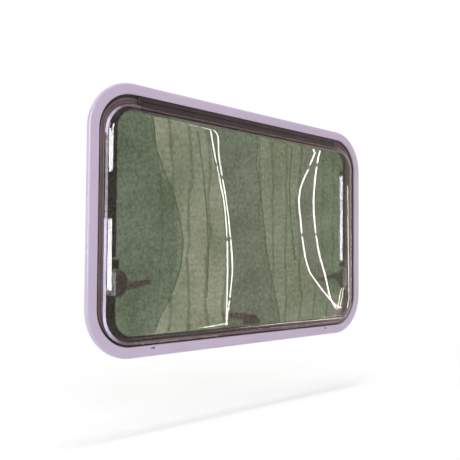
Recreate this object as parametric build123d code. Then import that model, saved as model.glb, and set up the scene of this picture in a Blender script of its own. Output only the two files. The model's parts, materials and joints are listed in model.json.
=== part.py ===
"""Top-hung caravan window: moulded frame, double acrylic sash, two stays and three turn latches.

Axes: X runs to the right seen from outside, Y points into the vehicle and Z is up.
The wall's outer skin is the plane y = 0, where the back of the flange seats.
The origin is on that back face, in the middle of the lower rail of the flange.
An inset is measured inward from the flange's outer edge, and depths are y values.
"""
import os
from math import radians, tan

from build123d import *

# Wall cut-out and flange
CUT_OUT_W = 900.0
CUT_OUT_H = 550.0
OVERLAP = 27.0
FLANGE_W = CUT_OUT_W + 2 * OVERLAP
FLANGE_H = CUT_OUT_H + 2 * OVERLAP
FLANGE_R = 112.0
FLANGE_T = 9.0
EDGE_R = 5.5
LIP_R = 0.8
RING_W = 24.5
REVEAL_Y = -3.5
BOTTOM_Z = -OVERLAP / 2
TOP_Z = BOTTOM_Z + FLANGE_H
CENTRE_Z = BOTTOM_Z + FLANGE_H / 2

# Neck that passes through the wall, and the ledge that carries the seal
NECK_GAP = 1.5
NECK_T = 6.5
NECK_DEPTH = 26.0
NECK_OUT = OVERLAP + NECK_GAP
NECK_IN = NECK_OUT + NECK_T
FLOOR_Y = 1.0
FLOOR_RUN = 4.5
LEDGE_BACK = 5.0
LEDGE_SIDE = 75.0
LEDGE_TOP = 58.0
LEDGE_BOTTOM = 48.0
LEDGE_R = 45.0
NOTCH_SIDE = 56.0
NOTCH_LOW_Z = 124.0
NOTCH_HIGH_Z = 207.0
NOTCH_BOTTOM = 44.5
NOTCH_HALF = 26.0
PILOT_R = 1.5
PILOT_DEPTH = 14.0
PILOT_INSET = NECK_OUT + NECK_T / 2
PILOT_END_X = 330.0
PILOT_MID_X = 110.0
PILOT_SIDE_Z = 130.0
SLOT_X = 308.0
SLOT_INSET = 18.5
SLOT_L = 12.0
SLOT_H = 4.0
DRAIN_DEPTH = 2.0

# Rubber seal on the ledge: two bulbs, by the inset of their middles, on a foot strip
SEAL_OUTER = 33.5
SEAL_OUTER_W = 6.0
SEAL_INNER = 41.5
SEAL_INNER_W = 5.0
SEAL_BULB_R = 1.6
SEAL_FOOT = 1.0
SEAL_TOUCH = 0.1

# Sash outline, as insets from the flange's edge, and its two sheets
SASH_SIDE = 40.0
SASH_TOP = 45.0
SASH_BOTTOM = 28.5
SASH_R = 70.0
RIM_FRONT = -8.5
RIM_W = 8.0
OUTER_T = 3.0
BOND_T = 0.5
INNER_T = 2.5
SLOPE = 55.0
FIELD_EDGE_Y = -17.0
FIELD_MID_Y = -20.5
SHOULDER_R = 9.0
FOOT_R = 2.5
INNER_INSET = 1.0
DOME_BLOCK = 20.0
RIM_BACK = RIM_FRONT + OUTER_T
INNER_FRONT = RIM_BACK + BOND_T
INNER_BACK = INNER_FRONT + INNER_T

# Hinge along the top
HINGE_HALF = 345.0
HINGE_CAP_L = 9.0
HINGE_FRONT = -8.6
HINGE_BACK = -3.5
HINGE_RAIL_END = 36.0
HINGE_STRIP_START = 38.5
HINGE_CAP_END = 44.0
HINGE_CAP_R = 3.0
SOCKET_INSET = 34.0
SOCKET_R = 1.9
MOUTH = 1.8
BULB_R = 1.6
NECK_PLY = 1.2
CLIP_W = 3.0
CLIP_T = 0.9

# Turn latches: the pivot is the latch's own origin, closed grips point along +u
LATCH_SIDE_X = 387.0
LATCH_SIDE_Z = 151.0
LATCH_BOTTOM_X = 10.0
LATCH_BOTTOM_Z = 48.5
LATCH_BOTTOM_TURN = 75.0
BASE_FLAT = -12.0
BASE_NOSE = 14.0
BASE_HALF = 29.0
BASE_SHOULDER = -5.0
BASE_EDGE_R = 2.0
BASE_TOP = 4.0
BOSS_R = 9.0
BOSS_TOP = 8.6
HUB_R = 11.0
LEVER_FRONT = 9.4
LEVER_BACK = 18.4
GRIP_ROOT = (9.0, -9.0)
GRIP_TIP = (84.0, 2.0)
GRIP_ROOT_R = 8.5
GRIP_TIP_R = 6.0
GRIP_EDGE_R = 2.5
TONGUE_L = 20.0
TONGUE_R = 6.5
TONGUE_ROOT_R = 8.0
TONGUE_FRONT = 13.2
PIN_R = 4.0
PIN_GAP = 0.05
PIN_HEAD_R = 7.0
PIN_HEAD_GAP = 0.4
PIN_HEAD_T = 2.0
STRIKE_GAP = 1.5
STRIKE_HALF = 25.0
STRIKE_REACH = 14.0
STRIKE_BACK = 8.0
STRIKE_R = 3.0

# Stays between frame and sash, on both sides
STAY_X = 405.0
STAY_Y = 14.0
STAY_LOW_Z = 205.0
STAY_HIGH_Z = 458.0
STAY_R = 6.0
STAY_WALL = 1.4
ROD_R = 4.0
EYE_Z = 192.0
ROD_L = 200.0
EYE_R = 6.0
EYE_T = 7.0
EYE_PIN_R = 2.5
FOOT_W = 15.0
FOOT_H = 20.0
FOOT_T = 3.0
EAR_T = 3.0
EAR_GAP = 1.0
CAP_L = 18.0
CAP_WALL = 0.8
CAP_EDGE_R = 3.0
STUB_UP = 10.0
STUB_R = 3.5
STUB_L = 7.0
BRACKET_R = 9.0
BRACKET_L = 6.5
BRACKET_PLATE = 26.0
BRACKET_T = 3.5


def facing(centre_z, depth):
    """Drawing plane parallel to the wall, seen from outside, at one depth."""
    return Plane((0, depth, centre_z), x_dir=(1, 0, 0), z_dir=(0, -1, 0))


def panel(side, top, bottom, radius, front, back, taper=0.0):
    """Rounded rectangle set in from the flange's edge, solid between two depths."""
    width = FLANGE_W - 2 * side
    height = FLANGE_H - top - bottom
    centre_z = BOTTOM_Z + bottom + height / 2
    outline = facing(centre_z, back) * RectangleRounded(width, height, radius)
    return extrude(outline, amount=back - front, taper=taper)


def sash_panel(inset, front, back, taper=0.0):
    """Panel that follows the sash's outline at an inset of its own."""
    sides = (SASH_SIDE + inset, SASH_TOP + inset, SASH_BOTTOM + inset)
    return panel(*sides, SASH_R - inset, front, back, taper)


def round_path():
    """Flange outline as a closed path in the plane of the wall's skin."""
    return (facing(CENTRE_Z, 0) * RectangleRounded(FLANGE_W, FLANGE_H, FLANGE_R)).wire()


def ring_of(section):
    """Sweep a section, drawn as inset and depth, once round the flange's outline."""
    start = Plane((0, 0, BOTTOM_Z), x_dir=(0, 0, 1), z_dir=(-1, 0, 0))
    return sweep(start * section, path=round_path())


def outer_frame():
    """Flange with a rounded edge, reveal, sloping floor, neck, ledge, pilot holes and drain slots."""
    front = -FLANGE_T
    slope_end = RING_W + FLOOR_RUN
    outline = [
        Line((0, 0), (0, front + EDGE_R)),
        RadiusArc((0, front + EDGE_R), (EDGE_R, front), EDGE_R),
        Line((EDGE_R, front), (RING_W - LIP_R, front)),
        RadiusArc((RING_W - LIP_R, front), (RING_W, front + LIP_R), LIP_R),
        Polyline((RING_W, front + LIP_R), (RING_W, REVEAL_Y), (slope_end, FLOOR_Y), (NECK_IN, FLOOR_Y),
                 (NECK_IN, NECK_DEPTH), (NECK_OUT, NECK_DEPTH), (NECK_OUT, 0), (0, 0)),
    ]
    body = ring_of(make_face(outline))
    ledge = panel(NECK_IN, NECK_IN, NECK_IN, FLANGE_R - NECK_IN, FLOOR_Y, LEDGE_BACK)
    ledge -= panel(LEDGE_SIDE, LEDGE_TOP, LEDGE_BOTTOM, LEDGE_R, FLOOR_Y - 1, LEDGE_BACK + 1)
    body += ledge - ledge_notches()
    for x, z in pilot_spots():
        hole = Plane((x, NECK_DEPTH, z), z_dir=(0, -1, 0)) * Circle(PILOT_R)
        body -= extrude(hole, amount=PILOT_DEPTH)
    slot_z = BOTTOM_Z + SLOT_INSET
    for x in (-SLOT_X, SLOT_X):
        slot = facing(slot_z, REVEAL_Y) * Pos(x) * SlotOverall(SLOT_L, SLOT_H)
        body -= extrude(slot, amount=FLANGE_T)
        run = RING_W - SLOT_INSET + 1
        drain = Box(SLOT_L - SLOT_H, DRAIN_DEPTH, run, align=(Align.CENTER, Align.MAX, Align.MIN))
        body -= Pos(x, REVEAL_Y, slot_z) * drain
    return body


def ledge_notches():
    """Cut-outs of the ledge for the strikes and the feet of the stays."""
    middle_y = (FLOOR_Y + LEDGE_BACK) / 2
    depth = LEDGE_BACK - FLOOR_Y + 2
    from_low = (Align.CENTER, Align.CENTER, Align.MIN)
    sides = Box(FLANGE_W - 2 * NOTCH_SIDE, depth, NOTCH_HIGH_Z - NOTCH_LOW_Z, align=from_low)
    catch = Box(2 * NOTCH_HALF, depth, LEDGE_BOTTOM, align=from_low)
    notches = Pos(0, middle_y, NOTCH_LOW_Z) * sides
    return notches + Pos(LATCH_BOTTOM_X, middle_y, BOTTOM_Z + NOTCH_BOTTOM) * catch


def pilot_spots():
    """Places of the pilot holes in the neck's end: four on each long rail and two on each short one."""
    long_x = (-PILOT_END_X, -PILOT_MID_X, PILOT_MID_X, PILOT_END_X)
    spots = [(x, z) for x in long_x for z in (BOTTOM_Z + PILOT_INSET, TOP_Z - PILOT_INSET)]
    side_x = FLANGE_W / 2 - PILOT_INSET
    side_z = (CENTRE_Z - PILOT_SIDE_Z, CENTRE_Z + PILOT_SIDE_Z)
    return spots + [(x, z) for x in (-side_x, side_x) for z in side_z]


def weather_seal():
    """Rubber ring on the ledge: a foot strip with two bulbs side by side."""
    height = FLOOR_Y - INNER_BACK - SEAL_TOUCH
    middle = FLOOR_Y - height / 2
    low = SEAL_OUTER - SEAL_OUTER_W / 2
    high = SEAL_INNER + SEAL_INNER_W / 2
    section = Pos((low + high) / 2, FLOOR_Y - SEAL_FOOT / 2) * Rectangle(high - low, SEAL_FOOT)
    section += Pos(SEAL_OUTER, middle) * RectangleRounded(SEAL_OUTER_W, height, SEAL_BULB_R)
    section += Pos(SEAL_INNER, middle) * RectangleRounded(SEAL_INNER_W, height, SEAL_BULB_R)
    return ring_of(section)


def bow(edge_y, middle_y):
    """Block behind a front that is bowed about the upright axis."""
    half = FLANGE_W / 2
    outline = [
        ThreePointArc((-half, edge_y), (0, middle_y), (half, edge_y)),
        Polyline((half, edge_y), (half, DOME_BLOCK), (-half, DOME_BLOCK), (-half, edge_y)),
    ]
    return extrude(Plane.XY * make_face(outline), amount=TOP_Z)


def dome(inset, foot_y, lift, shoulder):
    """Raised field of a thermoformed sheet: sloping wall, bowed front and rounded shoulder."""
    body = sash_panel(inset, foot_y - DOME_BLOCK, foot_y, taper=90 - SLOPE)
    body &= bow(FIELD_EDGE_Y + lift, FIELD_MID_Y + lift)
    front_edges = body.faces().sort_by(Axis.Y)[0].edges()
    return fillet(front_edges, shoulder)


def at_step_foot(edge):
    """True for the edges where the flat rim of the outer sheet meets the sloping wall."""
    box = edge.bounding_box()
    reach = FLANGE_W / 2 - SASH_SIDE - RIM_W + 0.1
    low = BOTTOM_Z + SASH_BOTTOM + RIM_W - 0.1
    high = TOP_Z - SASH_TOP - RIM_W + 0.1
    within = box.max.X < reach and box.min.X > -reach and box.max.Z < high and box.min.Z > low
    return within and abs(edge.center().Y - RIM_FRONT) < 0.01


def outer_pane():
    """Outer sheet: flat bonded rim, rounded step and bowed field with the same wall all over."""
    sheet = sash_panel(0, RIM_FRONT, RIM_BACK) + dome(RIM_W, RIM_FRONT, 0, SHOULDER_R)
    sheet = fillet(sheet.edges().filter_by(at_step_foot), FOOT_R)
    hollow_inset = RIM_W + OUTER_T * tan(radians(SLOPE / 2))
    return sheet - dome(hollow_inset, RIM_BACK, OUTER_T, SHOULDER_R - OUTER_T)


def pane_bond():
    """Adhesive line that joins the rims of the two sheets."""
    ring = sash_panel(INNER_INSET, RIM_BACK, INNER_FRONT)
    return ring - sash_panel(RIM_W, RIM_BACK - 1, INNER_FRONT + 1)


def inner_pane():
    """Flat inner sheet, a little smaller than the outer one."""
    return sash_panel(INNER_INSET, INNER_FRONT, INNER_BACK)


def along_top(section, half):
    """Extrude a section, drawn as inset and depth from the top edge, along the top rail."""
    start = Plane((half, 0, TOP_Z), x_dir=(0, 0, -1), z_dir=(-1, 0, 0))
    flat = start * Plane((0, 0, 0), x_dir=(1, 0, 0), z_dir=(0, 0, -1)) * section
    return extrude(flat, amount=2 * half, dir=(-1, 0, 0))


def bar(start, end, front, back):
    """Rectangle of a hinge section between two insets and two depths."""
    return Pos((start + end) / 2, (front + back) / 2) * Rectangle(end - start, back - front)


def hinge_rail():
    """Hinge profile on the frame, with a round socket that opens downward."""
    middle = (HINGE_FRONT + HINGE_BACK) / 2
    block = bar(RING_W, HINGE_RAIL_END, HINGE_FRONT, HINGE_BACK)
    socket = Pos(SOCKET_INSET, middle) * Circle(SOCKET_R)
    mouth = bar(SOCKET_INSET, HINGE_RAIL_END, middle - MOUTH / 2, middle + MOUTH / 2)
    return along_top(block - socket - mouth, HINGE_HALF)


def hinge_strip():
    """Hinge profile on the sash: bulb, neck, web on the pane's top edge and a clip over its front."""
    middle = (HINGE_FRONT + HINGE_BACK) / 2
    bulb = Pos(SOCKET_INSET, middle) * Circle(BULB_R)
    neck = bar(SOCKET_INSET, HINGE_STRIP_START + 0.5, middle - NECK_PLY / 2, middle + NECK_PLY / 2)
    web = bar(HINGE_STRIP_START, SASH_TOP, RIM_FRONT, INNER_BACK)
    clip = bar(HINGE_STRIP_START, SASH_TOP + CLIP_W, RIM_FRONT - CLIP_T, RIM_FRONT)
    return along_top(bulb + neck + web + clip, HINGE_HALF)


def hinge_cap(side):
    """Moulded cap that closes one end of the hinge profile."""
    cap = along_top(bar(RING_W, HINGE_CAP_END, HINGE_FRONT, HINGE_BACK), HINGE_CAP_L / 2)
    cap = fillet(cap.edges().filter_by(Axis.Y).sort_by(Axis.X)[-2:], HINGE_CAP_R)
    cap = cap if side > 0 else mirror(cap, Plane.YZ)
    return Pos(side * (HINGE_HALF + HINGE_CAP_L / 2), 0, 0) * cap


def upright(sketch, front, back):
    """Latch outline drawn in its own u and v, solid between two depths."""
    return extrude(facing(0, back) * sketch, amount=back - front)


def latch_base():
    """D-shaped foot on the inner sheet with a boss for the pivot pin."""
    high = (BASE_SHOULDER, BASE_HALF)
    low = (BASE_SHOULDER, -BASE_HALF)
    outline = [
        Polyline(high, (BASE_FLAT, BASE_HALF), (BASE_FLAT, -BASE_HALF), low),
        ThreePointArc(low, (BASE_NOSE, 0), high),
    ]
    foot = upright(make_face(outline), INNER_BACK, BASE_TOP)
    foot = fillet(foot.faces().sort_by(Axis.Y)[-1].edges(), BASE_EDGE_R)
    foot += upright(Circle(BOSS_R), INNER_BACK, BOSS_TOP)
    return foot - upright(Circle(PIN_R), 0, BOSS_TOP + 1)


def hull_of(first, first_r, second, second_r):
    """Outline stretched round two circles of a latch lever."""
    return make_hull((Pos(*first) * Circle(first_r) + Pos(*second) * Circle(second_r)).edges())


def latch_lever():
    """Lever with a round hub, an offset tapered grip and a short tongue behind the strike."""
    lever = upright(hull_of(GRIP_ROOT, GRIP_ROOT_R, GRIP_TIP, GRIP_TIP_R), LEVER_FRONT, LEVER_BACK)
    lever = fillet(lever.edges().filter_by(lambda e: e.bounding_box().size.Y < 0.01), GRIP_EDGE_R)
    lever += upright(Circle(HUB_R), LEVER_FRONT, LEVER_BACK)
    lever += upright(hull_of((0, 0), TONGUE_ROOT_R, (-TONGUE_L, 0), TONGUE_R), TONGUE_FRONT, LEVER_BACK)
    return lever - upright(Circle(PIN_R + PIN_GAP), LEVER_FRONT - 1, LEVER_BACK + 1)


def latch_pin():
    """Pivot pin seated in the base, with a head behind the lever."""
    head_y = LEVER_BACK + PIN_HEAD_GAP
    return upright(Circle(PIN_R), 0, head_y) + upright(Circle(PIN_HEAD_R), head_y, head_y + PIN_HEAD_T)


def latch_strike(pivot_inset, ledge_inset):
    """Catch on the ledge's back with a nose that reaches toward the latch."""
    nose = BASE_FLAT - STRIKE_GAP
    tip = ledge_inset - pivot_inset
    root = max(NECK_IN + 1 - pivot_inset, tip - STRIKE_REACH)
    plate = Pos((root + nose) / 2, 0) * RectangleRounded(nose - root, 2 * STRIKE_HALF, STRIKE_R)
    block = Pos((tip + 1 + nose) / 2, 0) * Rectangle(nose - tip - 1, 2 * STRIKE_HALF)
    return upright(plate, LEDGE_BACK, STRIKE_BACK) + upright(block, 0, LEDGE_BACK)


def stay_tube(side):
    """Outer tube of the telescopic stay."""
    ring = Circle(STAY_R) - Circle(STAY_R - STAY_WALL)
    return Pos(side * STAY_X, STAY_Y, STAY_LOW_Z) * extrude(ring, amount=STAY_HIGH_Z - STAY_LOW_Z)


def across(sketch, width):
    """Outline drawn in depth and height, solid to both sides of the stay's middle plane."""
    return extrude(Plane.YZ * sketch, amount=width / 2, both=True)


def stay_rod(side):
    """Inner rod with a flat eye for the foot's pin."""
    rod = Pos(0, STAY_Y, EYE_Z) * extrude(Circle(ROD_R), amount=ROD_L)
    centre = Pos(STAY_Y, EYE_Z)
    rod += across(centre * Circle(EYE_R), EYE_T)
    rod -= across(centre * Circle(EYE_PIN_R), 2 * EYE_R)
    return Pos(side * STAY_X, 0, 0) * rod


def stay_foot(side):
    """Fork on the inner sheet that holds the rod's eye."""
    plate = Box(FOOT_W, FOOT_T, FOOT_H, align=(Align.CENTER, Align.MIN, Align.CENTER))
    fork = Pos(0, INNER_BACK, EYE_Z) * plate
    centre = Pos(STAY_Y, EYE_Z)
    ear = centre * Circle(EYE_R)
    ear += Pos((STAY_Y + INNER_BACK) / 2, EYE_Z) * Rectangle(STAY_Y - INNER_BACK, 2 * EYE_R)
    ear_x = EYE_T / 2 + EAR_GAP / 2 + EAR_T / 2
    for x in (-ear_x, ear_x):
        fork += Pos(x, 0, 0) * across(ear, EAR_T)
    fork += across(centre * Circle(EYE_PIN_R), 2 * ear_x)
    return Pos(side * STAY_X, 0, 0) * fork


def stay_cap(side):
    """Moulded end of the tube with the pivot stub that enters the bracket."""
    cap = Pos(0, STAY_Y, STAY_HIGH_Z) * extrude(Circle(STAY_R + CAP_WALL), amount=CAP_L)
    cap = fillet(cap.faces().sort_by(Axis.Z)[-1].edges(), CAP_EDGE_R)
    cap += extrude(Plane.YZ * Pos(STAY_Y, STAY_HIGH_Z + STUB_UP) * Circle(STUB_R), amount=STUB_L)
    cap = Pos(STAY_X, 0, 0) * cap
    return cap if side > 0 else mirror(cap, Plane.YZ)


def stay_bracket(side):
    """Bracket on the ledge's back with a round boss beside the stay's upper end."""
    height = STAY_HIGH_Z + STUB_UP
    boss = extrude(Plane.YZ * Pos(STAY_Y, height) * Circle(BRACKET_R), amount=BRACKET_L)
    plate = Box(BRACKET_PLATE, BRACKET_T, BRACKET_PLATE, align=(Align.MIN, Align.MIN, Align.CENTER))
    bracket = boss + Pos(0, LEDGE_BACK, height) * plate
    bracket = Pos(STAY_X + STUB_L, 0, 0) * bracket
    return bracket if side > 0 else mirror(bracket, Plane.YZ)


def build():
    """All nodes by name."""
    nodes = {
        "outer_frame": outer_frame(),
        "weather_seal": weather_seal(),
        "outer_pane": outer_pane(),
        "pane_bond": pane_bond(),
        "inner_pane": inner_pane(),
        "hinge_rail": hinge_rail(),
        "hinge_strip": hinge_strip(),
    }
    side_inset = FLANGE_W / 2 - LATCH_SIDE_X
    bottom_inset = LATCH_BOTTOM_Z - BOTTOM_Z
    latches = {
        "left": (-LATCH_SIDE_X, LATCH_SIDE_Z, 0, 0, side_inset, NOTCH_SIDE),
        "right": (LATCH_SIDE_X, LATCH_SIDE_Z, 180, 0, side_inset, NOTCH_SIDE),
        "bottom": (LATCH_BOTTOM_X, LATCH_BOTTOM_Z, 90, LATCH_BOTTOM_TURN, bottom_inset, NOTCH_BOTTOM),
    }
    for name, (x, z, closed, turn, inset, ledge) in latches.items():
        seat = Pos(x, 0, z) * Rot(0, -closed, 0)
        nodes[f"latch_base_{name}"] = seat * latch_base()
        nodes[f"latch_pin_{name}"] = seat * latch_pin()
        nodes[f"latch_strike_{name}"] = seat * latch_strike(inset, ledge)
        nodes[f"latch_lever_{name}"] = seat * Rot(0, -turn, 0) * latch_lever()
    for name, side in {"left": -1, "right": 1}.items():
        nodes[f"hinge_cap_{name}"] = hinge_cap(side)
        nodes[f"stay_tube_{name}"] = stay_tube(side)
        nodes[f"stay_rod_{name}"] = stay_rod(side)
        nodes[f"stay_foot_{name}"] = stay_foot(side)
        nodes[f"stay_cap_{name}"] = stay_cap(side)
        nodes[f"stay_bracket_{name}"] = stay_bracket(side)
    return nodes


os.makedirs("parts", exist_ok=True)
for node, solid in build().items():
    export_step(solid, f"parts/{node}.step")
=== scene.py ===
import json
from itertools import count
from math import asin, cos, pi, radians, sin

import bpy
from mathutils import Matrix, Vector


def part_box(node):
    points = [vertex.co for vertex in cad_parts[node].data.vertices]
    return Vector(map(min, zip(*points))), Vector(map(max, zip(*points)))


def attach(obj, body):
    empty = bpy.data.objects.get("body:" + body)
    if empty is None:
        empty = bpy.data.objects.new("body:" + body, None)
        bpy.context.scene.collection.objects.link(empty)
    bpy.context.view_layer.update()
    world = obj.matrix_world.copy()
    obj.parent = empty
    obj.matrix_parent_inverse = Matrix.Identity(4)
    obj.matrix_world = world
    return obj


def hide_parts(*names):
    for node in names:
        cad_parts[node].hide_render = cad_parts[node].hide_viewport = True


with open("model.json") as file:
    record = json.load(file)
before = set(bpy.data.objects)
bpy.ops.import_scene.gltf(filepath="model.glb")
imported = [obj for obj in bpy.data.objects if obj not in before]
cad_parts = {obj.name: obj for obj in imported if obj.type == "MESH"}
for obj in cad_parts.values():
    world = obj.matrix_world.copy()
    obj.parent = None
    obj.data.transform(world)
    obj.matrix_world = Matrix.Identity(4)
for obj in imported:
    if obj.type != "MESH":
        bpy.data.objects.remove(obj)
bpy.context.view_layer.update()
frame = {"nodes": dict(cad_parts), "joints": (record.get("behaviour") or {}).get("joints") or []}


# Camera
# The camera stands at the left, a little below the middle of the window and about 1.6 m from it.
# It looks slightly up, and the right side of the window falls away.
camera_data = bpy.data.cameras.new("photo_camera")
camera_data.lens = 47.745
camera_data.shift_y = 0.0174
camera = bpy.data.objects.new("photo_camera", camera_data)
camera.location = (-1.1186, -1.1294, 0.2051)
camera.rotation_euler = (radians(91.968), radians(-0.415), radians(-42.968))
bpy.context.scene.collection.objects.link(camera)
bpy.context.scene.camera = camera
bpy.context.scene.view_settings.view_transform = "Standard"


# Studio
# White surroundings that turn into a darker room where the panes mirror them, a pale floor, three soft boxes
# for the window and two tinted ones that light only what stands behind the panes. The bare tubes, panels and
# folded cloths that the panes mirror are flat lamps that nothing but mirror-like surfaces see.
MM = 0.001
WHITE = (1.0, 1.0, 1.0, 1.0)
ROOM_DARK, ROOM_BRIGHT = (0.52, 0.33, 0.38, 1.0), (1.40, 0.90, 0.98, 1.0)
ROOM_LIGHT = (0.82, 0.81, 0.805, 1.0)
FLOOR_SIZE, FLOOR_HEIGHT, FLOOR_PALE = 12.0, -0.185, (0.93, 0.93, 0.93, 1.0)
WINDOW_MIDDLE = (0.0, 0.0, 0.28)


def add_node(tree, kind, values=None, **settings):
    """Adds a shader node of a kind and sets its settings, then the values of its inputs."""
    node = tree.nodes.new("ShaderNode" + kind)
    for name, value in settings.items():
        setattr(node, name, value)
    for socket, value in (values or {}).items():
        node.inputs[socket].default_value = value
    return node


def wire(tree, *links):
    """Links sockets, each link given as a node and its output, then a node and its input."""
    for giver, out, taker, into in links:
        tree.links.new(giver.outputs[out], taker.inputs[into])


world = bpy.data.worlds.new("studio")
bpy.context.scene.world = world
world.use_nodes = True
room = world.node_tree
room.nodes.clear()
path = add_node(room, "LightPath")
seen = add_node(room, "Math", operation="MAXIMUM")
heading = add_node(room, "TexCoord")
apart = add_node(room, "SeparateXYZ")
behind = add_node(room, "MapRange", {"From Min": -0.15, "From Max": 0.5})
aside = add_node(room, "MapRange", {"From Min": 0.50, "From Max": 0.82})
front = add_node(room, "Mix", {"A": ROOM_DARK, "B": ROOM_BRIGHT}, data_type="RGBA")
around = add_node(room, "Mix", {"B": WHITE}, data_type="RGBA")
mirrored = add_node(room, "Mix", {"A": ROOM_LIGHT}, data_type="RGBA")
dim = add_node(room, "Background")
white = add_node(room, "Background", {"Color": WHITE})
blend = add_node(room, "MixShader")
room_out = add_node(room, "OutputWorld")
wire(
    room,
    (path, "Is Camera Ray", seen, 0), (path, "Is Transmission Ray", seen, 1),
    (heading, "Generated", apart, 0), (apart, "Y", behind, "Value"), (apart, "X", aside, "Value"),
    (aside, "Result", front, "Factor"), (front, "Result", around, "A"), (behind, "Result", around, "Factor"),
    (path, "Is Glossy Ray", mirrored, "Factor"), (around, "Result", mirrored, "B"),
    (mirrored, "Result", dim, "Color"), (seen, 0, blend, "Fac"), (dim, 0, blend, 1), (white, 0, blend, 2),
    (blend, 0, room_out, "Surface"),
)


def new_finish(name):
    """A new material and its nodes."""
    finish = bpy.data.materials.new(name)
    finish.use_nodes = True
    return finish, finish.node_tree


def clear_bench():
    """Leaves edit mode and deselects everything."""
    if bpy.context.mode != "OBJECT":
        bpy.ops.object.mode_set(mode="OBJECT")
    bpy.ops.object.select_all(action="DESELECT")


clear_bench()
bpy.ops.mesh.primitive_plane_add(size=FLOOR_SIZE, location=(0.0, 0.0, FLOOR_HEIGHT))
floor = bpy.context.object
floor.name = "floor"
floor_paint, paint = new_finish("floor_paint")
paint_shader = paint.nodes["Principled BSDF"]
paint_shader.inputs["Base Color"].default_value = FLOOR_PALE
paint_shader.inputs["Roughness"].default_value = 0.9
paint_path = add_node(paint, "LightPath")
paint_place = add_node(paint, "TexCoord")
away = add_node(paint, "VectorMath", operation="LENGTH")
fade = add_node(paint, "MapRange", {"From Min": 0.35, "From Max": 0.95}, interpolation_type="SMOOTHSTEP")
fade_seen = add_node(paint, "Math", operation="MULTIPLY")
paint_seen = add_node(paint, "Math", operation="MAXIMUM")
paper = add_node(paint, "Emission", {"Strength": 1.0})
floor_mix = add_node(paint, "MixShader")
wire(
    paint,
    (paint_place, "Object", away, 0), (away, "Value", fade, "Value"), (fade, "Result", fade_seen, 0),
    (paint_path, "Is Camera Ray", fade_seen, 1), (fade_seen, 0, paint_seen, 0),
    (paint_path, "Is Transmission Ray", paint_seen, 1), (paint_seen, 0, floor_mix, "Fac"),
    (paint_shader, 0, floor_mix, 1), (paper, 0, floor_mix, 2),
    (floor_mix, 0, paint.nodes["Material Output"], "Surface"),
)
floor.data.materials.append(floor_paint)
floor.visible_glossy = False


def soft_lamp(name, place, aim, size, watts, colour=(1.0, 1.0, 1.0), lit=None):
    """A soft box that the panes don't mirror, for every piece or only for those of a collection."""
    lamp_data = bpy.data.lights.new(name, "AREA")
    lamp_data.shape = "RECTANGLE"
    lamp_data.size, lamp_data.size_y = size
    lamp_data.energy = watts
    lamp_data.color = colour
    lamp = bpy.data.objects.new(name, lamp_data)
    lamp.location = place
    lamp.rotation_euler = (Vector(aim) - Vector(place)).to_track_quat("-Z", "Y").to_euler()
    lamp.visible_glossy = False
    lamp.visible_transmission = False
    if lit is not None:
        lamp.light_linking.receiver_collection = lit
    bpy.context.scene.collection.objects.link(lamp)


behind_pane = bpy.data.collections.new("behind_pane")
bright_tubes = bpy.data.collections.new("bright_tubes")
PANE_SIDE = (-1.6, -2.4, 0.5)
soft_lamp("fill_box", PANE_SIDE, WINDOW_MIDDLE, (1.4, 1.4), 500.0, (1.0, 0.66, 1.15), behind_pane)
soft_lamp("tube_box", PANE_SIDE, (0.4, 0.0, 0.35), (1.0, 1.0), 5000.0, (0.67, 0.44, 1.05), bright_tubes)
soft_lamp("left_soft_box", (-1.70, -2.3, 1.6), WINDOW_MIDDLE, (1.4, 1.4), 15.5)
soft_lamp("side_soft_box", (-3.0, -0.15, 0.35), WINDOW_MIDDLE, (0.6, 1.2), 22.0, (0.80, 0.95, 1.0))
soft_lamp("top_soft_box", (0.0, -0.1, 2.3), (0.0, 0.0, -0.18), (0.9, 0.5), 16.0)

TUBE_STAND = Vector((1.020, -1.100, 0.0))
TUBE_ALONG = Vector((0.733, 0.680, 0.0)).normalized()
TUBE_BACK = Vector((0.680, -0.733, 0.0))
CARD_STAND = TUBE_STAND + 0.15 * TUBE_BACK.normalized()
SIDEWAYS = Vector((1.0, 0.0, 0.0))
TUBE_WHITE, TUBE_WARM, CLOTH_WARM = (1.0, 0.95, 0.91), (1.0, 0.93, 0.82), (1.0, 0.86, 0.66)


def pick_all():
    """Selects the whole mesh."""
    bpy.ops.mesh.select_all(action="SELECT")


def start_piece(name):
    """A new piece in edit mode that is one vertex at the origin."""
    clear_bench()
    bpy.ops.mesh.primitive_plane_add(size=MM, enter_editmode=True)
    piece = bpy.context.object
    piece.name = name
    piece.data.name = name
    bpy.ops.mesh.select_mode(type="VERT")
    bpy.ops.mesh.merge(type="CENTER")
    pick_all()
    return piece


def pull(way):
    """Extrudes what is selected by a way."""
    bpy.ops.mesh.extrude_region_move(TRANSFORM_OT_translate={"value": way})


def trace(outline):
    """Extrudes the vertex along a closed outline and fills it."""
    bpy.ops.transform.translate(value=outline[0])
    for here, there in zip(outline, outline[1:] + outline[:1]):
        pull(there - here)
    pick_all()
    bpy.ops.mesh.remove_doubles(threshold=1e-6)
    bpy.ops.mesh.edge_face_add()


def pick(piece, wanted, kind="EDGE"):
    """Selects only those vertices, edges or faces whose points all pass the test."""
    bpy.ops.mesh.select_mode(type=kind)
    bpy.ops.mesh.select_all(action="DESELECT")
    bpy.ops.object.mode_set(mode="OBJECT")
    points = [v.co.copy() for v in piece.data.vertices]
    if kind == "VERT":
        for v in piece.data.vertices:
            v.select = wanted(v.co)
    else:
        parts = piece.data.edges if kind == "EDGE" else piece.data.polygons
        for part in parts:
            part.select = all(wanted(points[i]) for i in part.vertices)
    bpy.ops.object.mode_set(mode="EDIT")


def at(x, y, z):
    """A point, or a way, given in millimetres."""
    return Vector((x * MM, y * MM, z * MM))


def upright(stand, along, row):
    """Points on an upright plane, given across and up in millimetres."""
    return [stand + along * across * MM + at(0, 0, up) for across, up in row]


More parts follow.
